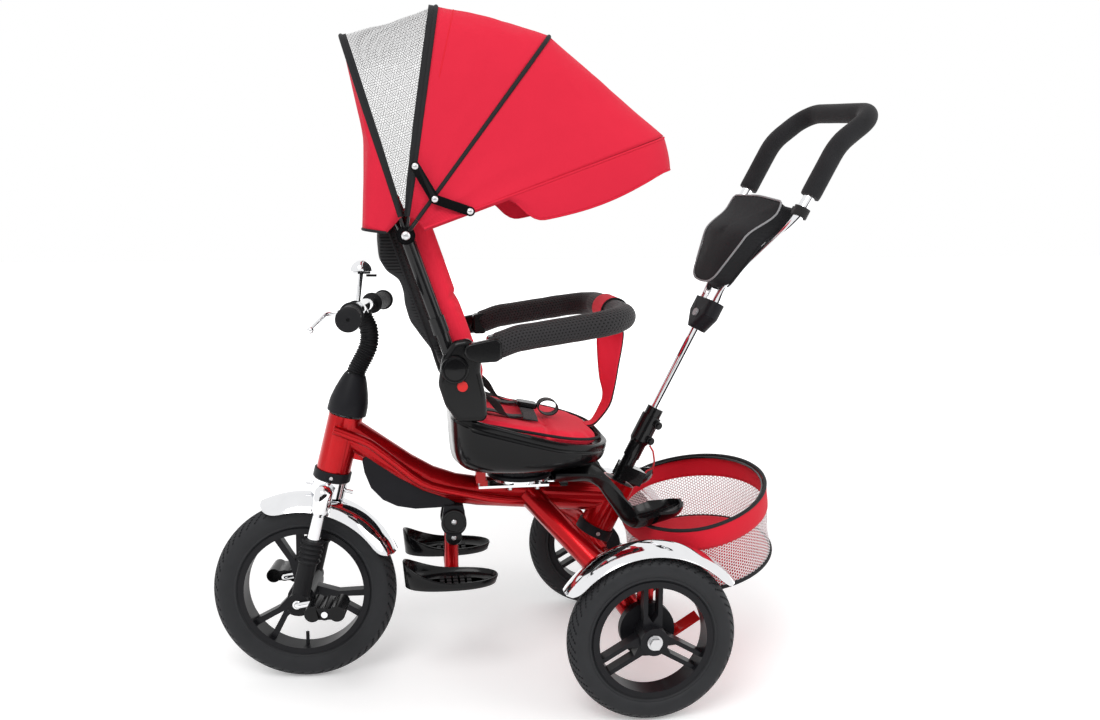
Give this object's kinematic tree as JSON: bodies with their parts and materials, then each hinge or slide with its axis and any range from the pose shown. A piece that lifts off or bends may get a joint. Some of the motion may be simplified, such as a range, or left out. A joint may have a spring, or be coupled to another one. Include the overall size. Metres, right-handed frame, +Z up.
{
  "type": "children's tricycle with push handle",
  "caption": "Children's tricycle with a turning, reclining seat, folding canopy, safety bar, footrests, basket, fork-driven front wheel and parent push handle.",
  "frame": {"origin": "middle of the footprint on the floor, under the centre of the bounding box", "axes": "+X forward in the direction of travel, +Y to the rider's left, +Z up"},
  "size_m": [1.1031, 0.5146, 1.0841],
  "materials": {
    "red_paint": "glossy",
    "steel": "satin",
    "dark_plastic": "matte",
    "black_plastic": "satin",
    "chrome": "mirror polished",
    "black_metal": "satin",
    "red_cloth": "woven",
    "white_mesh": "open mesh",
    "black_rubber": "matte",
    "tyre": "matte",
    "red_plastic": "gloss",
    "black_cloth": "woven",
    "red_cord": "braided",
    "grey_plastic": "satin",
    "black_foam": "foam"
  },
  "bodies": {
    "frame": {"main_frame": "red_paint", "rear_frame": "red_paint", "steel_hardware": "steel", "frame_covers": "dark_plastic", "seat_mount": "steel", "leg_rests": "black_plastic", "rear_fenders": "chrome", "basket_frame": "black_metal", "basket_cloth": "red_cloth", "basket_mesh": "white_mesh"},
    "fork": {"fork_crown": "chrome", "fork_lowers": "black_plastic", "front_fender": "chrome", "stem_boot": "black_rubber", "handlebar": "black_metal", "grips": "black_rubber", "bell": "chrome"},
    "bell_thumb_lever": {"bell_lever": "black_plastic"},
    "hand_brake_lever": {"brake_lever": "chrome"},
    "front_wheel": {"front_rim": "dark_plastic", "front_tyre": "tyre", "crank": "chrome"},
    "left_pedal": {"pedal_left": "black_plastic"},
    "right_pedal": {"pedal_right": "black_plastic"},
    "left_wheel": {"rear_rim_left": "dark_plastic", "rear_tyre_left": "tyre"},
    "right_wheel": {"rear_rim_right": "dark_plastic", "rear_tyre_right": "tyre"},
    "left_brake_pedal": {"brake_pedal_left": "red_plastic"},
    "right_brake_pedal": {"brake_pedal_right": "red_plastic"},
    "footrest": {"footrest_leg": "red_paint", "footplates": "black_plastic"},
    "seat": {"seat_shell": "black_plastic", "seat_cushion": "red_cloth", "recline_brackets": "black_plastic", "harness": "black_cloth"},
    "seat_lock_tab": {"seat_lock": "red_plastic"},
    "left_recline_button": {"recline_button_left": "red_plastic"},
    "right_recline_button": {"recline_button_right": "red_plastic"},
    "backrest": {"back_frame": "black_metal", "back_pad": "red_cloth", "back_cover": "black_cloth", "canopy_hoops": "black_metal", "canopy_rear": "red_cloth"},
    "bumper_bar": {"safety_bar": "black_metal", "bar_pads": "black_cloth", "crotch_strap": "red_cloth"},
    "canopy_middle": {"canopy_bow": "black_metal", "canopy_top": "red_cloth"},
    "canopy_end": {"canopy_visor": "red_cloth", "canopy_front": "red_cloth"},
    "rear_braces": {"canopy_arms_rear": "black_metal"},
    "front_braces": {"canopy_arms_front": "black_metal"},
    "push_post": {"handle_post": "black_metal", "lanyard": "red_cord"},
    "push_handle": {"handle_tubes": "chrome", "handle_joint": "black_plastic", "handle_foam": "black_foam", "handle_bag": "black_cloth"},
    "height_button": {"handle_button": "grey_plastic"}
  },
  "joints": [
    {"name": "front_steering", "type": "hinge", "parent": "frame", "child": "fork", "pos_m": [0.35, 0, 0.34639], "axis": [-0.2453, 0, 0.9694], "range_deg": [-24, 30]},
    {"name": "front_wheel_spin", "type": "hinge", "parent": "fork", "child": "front_wheel", "pos_m": [0.39906, 0, 0.1525], "axis": [0.0929, 0.9954, 0.0235], "continuous": true},
    {"name": "left_pedal_spin", "type": "hinge", "parent": "front_wheel", "child": "left_pedal", "pos_m": [0.34316, 0.00498, 0.16246], "axis": [0.0929, 0.9954, 0.0235], "continuous": true},
    {"name": "right_pedal_spin", "type": "hinge", "parent": "front_wheel", "child": "right_pedal", "pos_m": [0.45497, -0.00498, 0.14254], "axis": [0.0929, 0.9954, 0.0235], "continuous": true},
    {"name": "left_wheel_spin", "type": "hinge", "parent": "frame", "child": "left_wheel", "pos_m": [-0.14394, 0.225, 0.133], "axis": [0, 1, 0], "continuous": true},
    {"name": "right_wheel_spin", "type": "hinge", "parent": "frame", "child": "right_wheel", "pos_m": [-0.14394, -0.225, 0.133], "axis": [0, 1, 0], "continuous": true},
    {"name": "bell_lever_turn", "type": "hinge", "parent": "fork", "child": "bell_thumb_lever", "pos_m": [0.27919, 0.04286, 0.6832], "axis": [-0.0011, -0.0235, 0.9997], "range_deg": [-25, 0], "stiffness_Nm_per_rad": 0.02},
    {"name": "brake_lever_pull", "type": "hinge", "parent": "fork", "child": "hand_brake_lever", "pos_m": [0.32089, 0.09631, 0.62966], "axis": [-0.2453, 0, 0.9694], "range_deg": [0, 12], "stiffness_Nm_per_rad": 0.3},
    {"name": "left_brake_pedal_press", "type": "hinge", "parent": "frame", "child": "left_brake_pedal", "pos_m": [-0.17394, 0.173, 0.111], "axis": [0, -1, 0], "range_deg": [0, 14]},
    {"name": "right_brake_pedal_press", "type": "hinge", "parent": "frame", "child": "right_brake_pedal", "pos_m": [-0.17394, -0.173, 0.111], "axis": [0, -1, 0], "range_deg": [0, 14]},
    {"name": "footrest_fold", "type": "hinge", "parent": "frame", "child": "footrest", "pos_m": [0.14906, 0, 0.261], "axis": [0, 1, 0], "range_deg": [0, 75]},
    {"name": "seat_swivel", "type": "hinge", "parent": "frame", "child": "seat", "pos_m": [0.03406, 0, 0.331], "axis": [0, 0, 1], "range_deg": [0, 180]},
    {"name": "seat_lock_slide", "type": "slide", "parent": "frame", "child": "seat_lock_tab", "axis": [0, 1, 0], "range_m": [0, 0.012]},
    {"name": "left_recline_button_press", "type": "slide", "parent": "seat", "child": "left_recline_button", "axis": [0, -1, 0], "range_m": [0, 0.002], "stiffness_N_per_m": 200},
    {"name": "right_recline_button_press", "type": "slide", "parent": "seat", "child": "right_recline_button", "axis": [0, 1, 0], "range_m": [0, 0.002], "stiffness_N_per_m": 200},
    {"name": "backrest_recline", "type": "hinge", "parent": "seat", "child": "backrest", "pos_m": [0.15106, 0, 0.55], "axis": [0, -1, 0], "range_deg": [0, 10]},
    {"name": "safety_bar_lift", "type": "hinge", "parent": "seat", "child": "bumper_bar", "pos_m": [0.12206, 0, 0.576], "axis": [0, 1, 0], "range_deg": [0, 20]},
    {"name": "canopy_fold", "type": "hinge", "parent": "backrest", "child": "canopy_middle", "pos_m": [0.21943, 0, 0.74856], "axis": [0, 1, 0], "range_deg": [0, 24], "deforming": ["canopy_top"]},
    {"name": "canopy_end_fold", "type": "hinge", "parent": "canopy_middle", "child": "canopy_end", "pos_m": [0.21943, 0, 0.74856], "axis": [0, 1, 0], "range_deg": [0, 24], "deforming": ["canopy_front"]},
    {"name": "rear_brace_fold", "type": "hinge", "parent": "backrest", "child": "rear_braces", "pos_m": [0.20431, 0, 0.84741], "axis": [0, 1, 0], "range_deg": [-34, 0]},
    {"name": "front_brace_fold", "type": "hinge", "parent": "canopy_end", "child": "front_braces", "pos_m": [0.12576, 0, 0.78358], "axis": [0, 1, 0], "range_deg": [0, 34]},
    {"name": "push_steering", "type": "hinge", "parent": "frame", "child": "push_post", "pos_m": [-0.09394, 0, 0.226], "axis": [-0.4493, 0, 0.8934], "range_deg": [-24, 30]},
    {"name": "handle_height", "type": "slide", "parent": "push_post", "child": "push_handle", "axis": [0.4493, 0, -0.8934], "range_m": [0, 0.05]},
    {"name": "height_button_press", "type": "slide", "parent": "push_handle", "child": "height_button", "axis": [-0.8784, -0.1822, -0.4418], "range_m": [0, 0.002], "stiffness_N_per_m": 300}
  ],
  "couplings": [
    {"joint": "push_steering", "follows": "front_steering", "ratio": 1},
    {"joint": "canopy_end_fold", "follows": "canopy_fold", "ratio": 1},
    {"joint": "rear_brace_fold", "follows": "canopy_fold", "ratio": -1.4},
    {"joint": "front_brace_fold", "follows": "canopy_fold", "ratio": 1.4}
  ]
}
